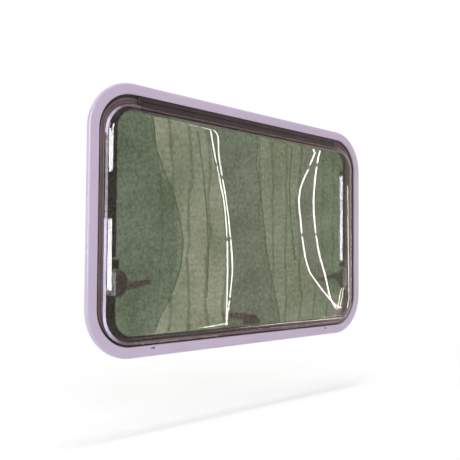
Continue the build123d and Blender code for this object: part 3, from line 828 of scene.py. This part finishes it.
inner_sheet = rounded_sheet("inner_sheet", SASH_SIDE + INNER_IN, SASH_TOP + INNER_IN, SASH_BOTTOM + INNER_IN,
                            SASH_R - INNER_IN, INNER_FRONT, 24)
thicken(INNER_BACK - INNER_FRONT)
ease(inner_sheet, INNER_FRONT, INNER_EASE, 2)
ease(inner_sheet, INNER_BACK, INNER_EASE, 2)
close_up(inner_sheet)
inner_acrylic = acrylic("inner_acrylic", (0.31, 0.37, 0.28), (0.43, 0.47, 0.395), 6.0, 190.0, 0.05, 0.35)
fitted(inner_sheet, inner_acrylic, "inner_acrylic", "inner_pane")


# Hinge
# A black extruded profile along the top: the rail on the frame has a round socket for the bead of the strip,
# which is clipped over the top edge of the sash. Moulded caps close both ends.
HINGE_HALF, HINGE_FRONT, HINGE_BACK = 345.0, -8.6, -3.5
BEAD_INSET, BEAD_Y, BEAD_R, BEAD_NECK = 34.0, -6.05, 1.6, 0.6
SOCKET_R, SOCKET_GAP, RAIL_IN = 1.9, 0.9, 36.0
STRIP_OUT, STRIP_IN, STRIP_FRONT = 38.5, 48.0, -9.4
CAP_L, CAP_END = 9.0, 44.0
MIRROR = Matrix.Scale(-1.0, 4, (1.0, 0.0, 0.0))


def top_point(inset, depth):
    """A point of a section at the hinge's left end, by its inset from the flange's upper edge."""
    return at(-HINGE_HALF, depth, TOP_Z - inset)


def bead_arc(radius, half_gap, steps=14):
    """Points round the bead from one side of its neck to the other."""
    start = asin(half_gap / radius)
    turns = [start + (2 * pi - 2 * start) * i / steps for i in range(steps + 1)]
    return [top_point(BEAD_INSET + radius * cos(t), BEAD_Y + radius * sin(t)) for t in turns]


def run_along():
    """Draws the traced hinge section out along the top rail."""
    pick_all()
    pull(at(2 * HINGE_HALF, 0, 0))
    face_out()


def flat_plate(name, across, up, front, back, radius=0.0, steps=5, corners=(0, 1, 2, 3)):
    """A plate, as a new piece in edit mode, between two places across and up, some of its corners rounded."""
    piece = start_piece(name)
    (left, right), (low, high) = across, up
    spots = [at(x, front, z) for x, z in [(left, low), (right, low), (right, high), (left, high)]]
    trace(spots)
    if radius:
        round_corners(piece, [spots[i] for i in corners], radius, steps)
    thicken(back - front)
    return piece


def copied(piece, name, place):
    """A copy of a piece with a mesh of its own, moved or mirrored by a matrix."""
    twin = piece.copy()
    twin.data = piece.data.copy()
    twin.name = name
    twin.data.name = name
    twin.data.transform(place)
    if place.determinant() < 0:
        twin.data.flip_normals()
    bpy.context.scene.collection.objects.link(twin)
    return twin


rail_profile = start_piece("hinge_rail_profile")
trace([top_point(*p) for p in [
    (RING_W, HINGE_FRONT), (RING_W, HINGE_BACK), (RAIL_IN, HINGE_BACK), (RAIL_IN, BEAD_Y + SOCKET_GAP)]]
    + bead_arc(SOCKET_R, SOCKET_GAP)
    + [top_point(RAIL_IN, BEAD_Y - SOCKET_GAP), top_point(RAIL_IN, HINGE_FRONT)])
round_corners(rail_profile, [top_point(RING_W, HINGE_FRONT), top_point(RAIL_IN, HINGE_FRONT)], 1.0, 3)
run_along()
close_up(rail_profile)
strip_profile = start_piece("hinge_strip_profile")
strip_corners = [top_point(*p) for p in [
    (STRIP_OUT, STRIP_FRONT), (STRIP_IN, STRIP_FRONT), (STRIP_IN, RIM_FRONT), (SASH_TOP, RIM_FRONT),
    (SASH_TOP, INNER_BACK), (STRIP_OUT, INNER_BACK), (STRIP_OUT, BEAD_Y + BEAD_NECK)]]
trace(strip_corners + bead_arc(BEAD_R, BEAD_NECK) + [top_point(STRIP_OUT, BEAD_Y - BEAD_NECK)])
round_corners(strip_profile, [strip_corners[i] for i in (0, 1, 5)], 0.6, 3)
run_along()
close_up(strip_profile)
hinge_cap = flat_plate("hinge_cap_right_moulding", (HINGE_HALF, HINGE_HALF + CAP_L),
                       (TOP_Z - CAP_END, TOP_Z - RING_W), HINGE_FRONT, HINGE_BACK, 3.0, 6, (1, 2))
ease(hinge_cap, HINGE_FRONT, 0.8, 3)
close_up(hinge_cap)
hinge_black = moulded("hinge_black", (0.026, 0.020, 0.021), (0.016, 0.013, 0.014), 9.0, 800.0, 0.12,
                      0.42, 0.22, specular=0.3)
fitted(rail_profile, hinge_black, "hinge_black", "hinge_rail")
fitted(strip_profile, hinge_black, "hinge_black", "hinge_strip")
fitted(copied(hinge_cap, "hinge_cap_left_moulding", MIRROR), hinge_black, "hinge_black", "hinge_cap_left")
fitted(hinge_cap, hinge_black, "hinge_black", "hinge_cap_right")


# Latches
# Three turn latches of brown-black moulded plastic: a D-shaped foot bonded to the inner sheet, hollow toward
# the glass, and a lever whose tongue goes behind a lavender strike that is screwed to the frame's ledge.
# They are modelled as the left one, with the lever's pin at the origin, and copied to their places.
FOOT_FRONT, FOOT_TOP, BOSS_TOP = INNER_BACK, 4.0, 8.6
FOOT_ARC_R, FOOT_ARC_X, FOOT_CUT_X, FOOT_STRAIGHT = 31.63, -17.63, -5.0, 7.0
LEVER_FRONT, LEVER_BACK, BORE_R = 9.4, 18.4, 4.05
GRIP_ROOT, GRIP_TIP = Vector((9.0, 0.0, -9.0)), Vector((84.0, 0.0, 2.0))
TONGUE_ROOT, TONGUE_TIP = Vector((-6.0, 0.0, 0.0)), Vector((-20.0, 0.0, 0.0))
TONGUE_FRONT, TONGUE_BACK = 13.2, 18.2
RIB_COUNT, RIB_FIRST, RIB_STEP, RIB_FRONT, RIB_BACK = 6, 0.50, 0.08, 17.0, 18.2
RIB_HALF_W, RIB_HALF_L = 0.7, 3.4
STRIKE_NEAR, STRIKE_BACK, STRIKE_HALF = -13.5, 8.0, 25.0
NOSE_NEAR, NOSE_BACK, NOSE_HALF = -13.6, 6.0, 24.5
SIDE_SCREW_X, BOTTOM_SCREW_X, SCREW_UP = -41.0, -20.0, (-17.0, 17.0)


def turned(name, section, rounded, axis, centre, steps):
    """A piece that is a section turned once round an axis, with some of its corners rounded."""
    piece = start_piece(name)
    trace(section)
    for corner, radius in rounded:
        round_corners(piece, [section[corner]], radius, 4)
    open_section()
    bpy.ops.mesh.spin(steps=steps, angle=2 * pi, center=centre, axis=axis)
    pick_all()
    bpy.ops.mesh.remove_doubles(threshold=1e-6)
    face_out()
    return piece


def turned_on_pin(name, section, rounded, steps):
    """A piece turned round a pin's or screw's axis at the origin, its section given as radius and depth."""
    points = [at(radius, depth, 0) for radius, depth in section]
    return turned(name, points, rounded, (0, 1, 0), (0, 0, 0), steps)


def stretched_disc(name, root, root_r, tip, tip_r, front, back, edge):
    """A lever arm: a disc pulled out to a second, smaller one, made thick and rounded at both faces."""
    piece = empty_piece(name)
    root, tip = (at(spot.x, front, spot.z) for spot in (root, tip))
    bpy.ops.mesh.primitive_circle_add(vertices=40, radius=root_r * MM, fill_type="NGON", location=root,
                                      rotation=FACE_ON)
    pick(piece, lambda co: (co - root).dot(tip - root) > 1e-9, "VERT")
    bpy.ops.transform.translate(value=tip - root)
    bpy.ops.transform.resize(value=(tip_r / root_r,) * 3, center_override=tip)
    thicken(back - front)
    for face in (front, back):
        ease(piece, face, edge, 4)
    return piece


def hollow(piece, depth, margin, slope, sink):
    """Sinks the face of a piece that lies at this depth, inside a margin and with sloping sides."""
    pick(piece, lambda co: abs(co.y - depth * MM) < 1e-6, "FACE")
    bpy.ops.mesh.inset(thickness=margin * MM)
    bpy.ops.mesh.inset(thickness=slope * MM, depth=-sink * MM)


latch_foot = empty_piece("left_latch_foot")
bpy.ops.mesh.primitive_circle_add(vertices=80, radius=FOOT_ARC_R * MM, fill_type="NGON", rotation=FACE_ON,
                                  location=at(FOOT_ARC_X, FOOT_FRONT, 0))
bpy.ops.mesh.bisect(plane_co=at(FOOT_CUT_X, 0, 0), plane_no=(1.0, 0.0, 0.0), clear_inner=True)
pick(latch_foot, lambda co: abs(co.x - FOOT_CUT_X * MM) < 1e-6)
pull(at(-FOOT_STRAIGHT, 0, 0))
bpy.ops.mesh.select_mode(type="FACE")
pick_all()
bpy.ops.mesh.dissolve_faces()
thicken(FOOT_TOP - FOOT_FRONT)
ease(latch_foot, FOOT_TOP, 2.0, 4)
hollow(latch_foot, FOOT_FRONT, 2.0, 0.8, 1.5)
foot_boss = turned_on_pin("foot_boss", [(0, 3.0), (9.0, 3.0), (9.0, BOSS_TOP), (0, BOSS_TOP)], [(2, 0.8)], 40)
foot_ring = turned_on_pin("foot_ring", [(8.0, -0.4), (8.0, -2.4), (10.5, -2.4), (10.5, -0.4)],
                          [(1, 0.7), (2, 1.0)], 48)
combine(latch_foot, "UNION", foot_boss, foot_ring)
close_up(latch_foot)

latch_lever = stretched_disc("left_latch_lever", GRIP_ROOT, 8.5, GRIP_TIP, 6.0, LEVER_FRONT, LEVER_BACK, 2.5)
hollow(latch_lever, LEVER_BACK, 1.2, 0.8, 1.2)
lever_hub = turned_on_pin("lever_hub", [(BORE_R, 9.5), (11.0, 9.5), (11.0, 18.3), (BORE_R, 18.3)],
                          [(1, 1.0), (2, 1.6)], 48)
lever_tongue = stretched_disc("lever_tongue", TONGUE_ROOT, 7.6, TONGUE_TIP, 6.5, TONGUE_FRONT, TONGUE_BACK,
                              1.4)
lever_drill = empty_piece("lever_drill")
bpy.ops.mesh.primitive_cylinder_add(vertices=48, radius=BORE_R * MM, depth=30 * MM, rotation=FACE_ON,
                                    location=at(0, 14, 0))
combine(latch_lever, "UNION", lever_hub, lever_tongue)
combine(latch_lever, "DIFFERENCE", lever_drill)
rib_spot = GRIP_ROOT.lerp(GRIP_TIP, RIB_FIRST)
grip_rib = flat_plate("grip_rib", (rib_spot.x - RIB_HALF_W, rib_spot.x + RIB_HALF_W),
                      (rib_spot.z - RIB_HALF_L, rib_spot.z + RIB_HALF_L), RIB_FRONT, RIB_BACK)
ease(grip_rib, RIB_BACK, 0.45, 2)
clear_bench()
rib_way = (GRIP_TIP - GRIP_ROOT) * RIB_STEP * MM
more_ribs = [copied(grip_rib, "grip_rib", Matrix.Translation(rib_way * i)) for i in range(1, RIB_COUNT)]
join_pieces(latch_lever, grip_rib, *more_ribs)
close_up(latch_lever)


def strike(name, root, tip):
    """A strike: a rounded plate on the ledge's back and a nose through to the latch, with its edges eased."""
    plate = flat_plate(name, (root, STRIKE_NEAR), (-STRIKE_HALF, STRIKE_HALF), LEDGE_BACK, STRIKE_BACK, 3.0)
    ease(plate, STRIKE_BACK, 1.0, 3)
    nose = flat_plate("strike_nose", (tip, NOSE_NEAR), (-NOSE_HALF, NOSE_HALF), 0.0, NOSE_BACK)
    ease(nose, 0.0, 0.8, 3)
    combine(plate, "UNION", nose)
    close_up(plate)
    return plate


side_strike = strike("left_latch_strike", -48.0, -33.0)
bottom_strike = strike("bottom_latch_strike", -26.0, -16.5)

screw = turned_on_pin("screw", [(0, -1.0), (3.2, -1.0), (3.2, 0.9), (0, 1.3)], [(2, 0.7)], 32)
for turn in (45.0, 135.0):
    cross_cut = empty_piece("cross_cut")
    bpy.ops.mesh.primitive_cube_add(size=1.0, location=at(0, 1.3, 0), rotation=(0.0, radians(turn), 0.0),
                                    scale=at(4.0, 1.4, 0.8))
    combine(screw, "DIFFERENCE", cross_cut)
close_up(screw)

latch_black = moulded("latch_black", (0.112, 0.073, 0.076), (0.078, 0.050, 0.053), 26.0, 1100.0, 0.12,
                      0.36, 0.22)
# The levers are of the feet's brown-black plastic; their lighter brown is painted light, for the light they
# catch.
grip_painted_light = moulded("grip_painted_light", (0.175, 0.124, 0.124), (0.125, 0.088, 0.088), 22.0, 1100.0, 0.12,
                     0.38, 0.20)
strike_plastic = moulded("strike_plastic", (0.610, 0.570, 0.740), (0.540, 0.505, 0.660), 15.0, 900.0, 0.10,
                         0.40, 0.20)
pin_steel = moulded("pin_steel", (0.560, 0.550, 0.570), (0.460, 0.450, 0.470), 60.0, 1500.0, 0.15,
                    0.30, 0.25, metallic=1.0)
screw_numbers = count(1)


def add_screw(place):
    """Puts a copy of the screw in its place."""
    fitted(copied(screw, f"screw_{next(screw_numbers)}", place), pin_steel, "latch_pin")


latch_joints = {joint["child"]: joint for joint in frame["joints"]}
for side, facing, catch, screw_x in [
    ("left", 0.0, side_strike, SIDE_SCREW_X), ("right", pi, side_strike, SIDE_SCREW_X),
    ("bottom", -pi / 2, bottom_strike, BOTTOM_SCREW_X),
]:
    pivot_x, _, pivot_z = latch_joints[f"latch_{side}"]["pos_m"]
    spot = Matrix.Translation((pivot_x, 0.0, pivot_z)) @ Matrix.Rotation(facing, 4, "Y")
    # At rest a lever stands away from its closed place by the lower limit of its joint.
    grip_spot = spot @ Matrix.Rotation(radians(latch_joints[f"latch_{side}"]["range_deg"][0]), 4, "Y")
    foot = copied(latch_foot, f"{side}_foot", spot)
    fitted(foot, latch_black, "latch_black", f"latch_base_{side}")
    side_catch = copied(catch, f"{side}_strike", spot)
    fitted(side_catch, strike_plastic, "strike_plastic", f"latch_strike_{side}")
    lever = copied(latch_lever, f"{side}_lever", grip_spot)
    fitted(lever, grip_painted_light, "latch_black", f"latch_lever_{side}", body=f"latch_{side}")
    for piece in (foot, side_catch, lever):
        behind_pane.objects.link(piece)
    dressed(f"latch_pin_{side}", pin_steel)
    for up in SCREW_UP:
        add_screw(spot @ Matrix.Translation(at(screw_x, STRIKE_BACK, up)))
for pattern in (latch_foot, latch_lever, side_strike, bottom_strike):
    bpy.data.objects.remove(pattern)


# Stays
# A telescopic stay on each side: a bright anodised tube, a steel rod whose eye is pinned in a fork on the
# sash, and a black moulded upper end that turns in a bracket screwed to the frame's ledge.
(tube_left, tube_front, TUBE_LOW), (tube_right, tube_back, TUBE_HIGH) = box_mm("stay_tube_right")
STAY_X, STAY_Y = (tube_left + tube_right) / 2, (tube_front + tube_back) / 2
CAP_PIVOT_Z, FORK_PIVOT_Z = 468.0, 192.0
BRACKET_ACROSS, BRACKET_UP, BRACKET_BACK = (412, 438), (455, 481), 8.5
BRACKET_SCREW_X, BRACKET_SCREW_UP = 430.0, (461.0, 475.0)
FORK_BASE_ACROSS, FORK_BASE_UP, FORK_BASE_BACK = (397.5, 412.5), (182, 202), 0.5
EAR_OUT, EAR_T, EAR_R = 5.5, 3.0, 6.0


def turned_upright(name, section, rounded):
    """A piece turned round the right tube's axis, its section given as radius and height."""
    points = [at(STAY_X + radius, STAY_Y, height) for radius, height in section]
    return turned(name, points, rounded, (0, 0, 1), at(STAY_X, STAY_Y, 0), 48)


def turned_across(name, height, section, rounded, steps):
    """A piece turned round a pivot across the right stay, its section given as place across and radius."""
    points = [at(STAY_X + x, STAY_Y + radius, height) for x, radius in section]
    return turned(name, points, rounded, (1, 0, 0), at(STAY_X, STAY_Y, height), steps)


stay_tube = turned_upright("right_stay_tube", [
    (4.6, TUBE_LOW), (6.0, TUBE_LOW), (6.0, TUBE_HIGH), (4.6, TUBE_HIGH)], [(1, 0.5), (0, 0.4)])
close_up(stay_tube)

stay_cap = turned_upright("right_stay_cap", [
    (0, TUBE_HIGH), (6.8, TUBE_HIGH), (6.8, 461), (6.2, 461.8), (6.8, 462.6), (6.8, 476), (0, 476)],
    [(1, 0.5), (5, 3.0)])
cap_stub = turned_across("cap_stub", CAP_PIVOT_Z, [(2.0, 0.0), (2.0, 3.5), (7.0, 3.5), (7.0, 0.0)], [], 32)
combine(stay_cap, "UNION", cap_stub)
close_up(stay_cap)

stay_bracket = flat_plate("right_stay_bracket", BRACKET_ACROSS, BRACKET_UP, LEDGE_BACK, BRACKET_BACK, 3.0)
ease(stay_bracket, BRACKET_BACK, 0.8, 3)
bracket_boss = turned_across("bracket_boss", CAP_PIVOT_Z, [
    (7.05, 0.0), (7.05, 9.0), (13.5, 9.0), (13.5, 0.0)], [(1, 0.8), (2, 1.5)], 40)
combine(stay_bracket, "UNION", bracket_boss)
close_up(stay_bracket)

stay_foot = flat_plate("right_stay_foot", FORK_BASE_ACROSS, FORK_BASE_UP, INNER_BACK, FORK_BASE_BACK, 2.0, 4)
ease(stay_foot, FORK_BASE_BACK, 0.7, 3)
fork_ear = empty_piece("fork_ear")
ear_left, ear_right = STAY_X - EAR_OUT - EAR_T / 2, STAY_X - EAR_OUT + EAR_T / 2
bpy.ops.mesh.primitive_circle_add(vertices=32, radius=EAR_R * MM, fill_type="NGON",
                                  location=at(ear_left, STAY_Y, FORK_PIVOT_Z),
                                  rotation=(0.0, radians(90), 0.0))
pick(fork_ear, lambda co: co.y < (STAY_Y - 1.0) * MM, "VERT")
bpy.ops.transform.translate(value=at(0, -14.5, 0))
pick_all()
pull(at(EAR_T, 0, 0))
face_out()
for face in (ear_left, ear_right):
    pick(fork_ear, lambda co: abs(co.x - face * MM) < 1e-6)
    bpy.ops.mesh.bevel(offset=0.5 * MM, segments=2, affect="EDGES")
pick_all()
bpy.ops.mesh.bisect(plane_co=at(0, -2.0, 0), plane_no=(0.0, 1.0, 0.0), clear_inner=True, use_fill=True)
clear_bench()
second_ear = copied(fork_ear, "second_ear", Matrix.Translation(at(2 * EAR_OUT, 0, 0)))
combine(stay_foot, "UNION", fork_ear, second_ear)
fork_pin = turned_across("fork_pin", FORK_PIVOT_Z, [(-6.9, 0.0), (-6.9, 2.5), (6.9, 2.5), (6.9, 0.0)],
                         [(1, 0.6), (2, 0.6)], 28)
join_pieces(stay_foot, fork_pin)
close_up(stay_foot)

stay_aluminium = moulded("stay_aluminium", (0.75, 0.72, 0.78), (0.67, 0.64, 0.70), 30.0, 1600.0, 0.04,
                         0.45, 0.12, metallic=0.3)
rod_steel = moulded("rod_steel", (0.50, 0.48, 0.50), (0.40, 0.39, 0.41), 45.0, 1500.0, 0.06,
                    0.32, 0.2, metallic=1.0)
stay_black = moulded("stay_black", (0.062, 0.048, 0.050), (0.042, 0.033, 0.035), 24.0, 1000.0, 0.12,
                     0.38, 0.22)
for part, node, finish, slot in [
    (stay_tube, "stay_tube", stay_aluminium, "stay_aluminium"),
    (stay_cap, "stay_cap", stay_black, "stay_black"),
    (stay_bracket, "stay_bracket", stay_black, "stay_black"),
    (stay_foot, "stay_foot", stay_black, "stay_black"),
]:
    twin = copied(part, part.name.replace("right", "left"), MIRROR)
    fitted(twin, finish, slot, f"{node}_left")
    fitted(part, finish, slot, f"{node}_right")
    if part == stay_tube:
        bright_tubes.objects.link(twin)
        bright_tubes.objects.link(part)
for side, screw_x in (("left", -BRACKET_SCREW_X), ("right", BRACKET_SCREW_X)):
    dressed(f"stay_rod_{side}", rod_steel)
    for up in BRACKET_SCREW_UP:
        add_screw(Matrix.Translation(at(screw_x, BRACKET_BACK, up)))
bpy.data.objects.remove(screw)
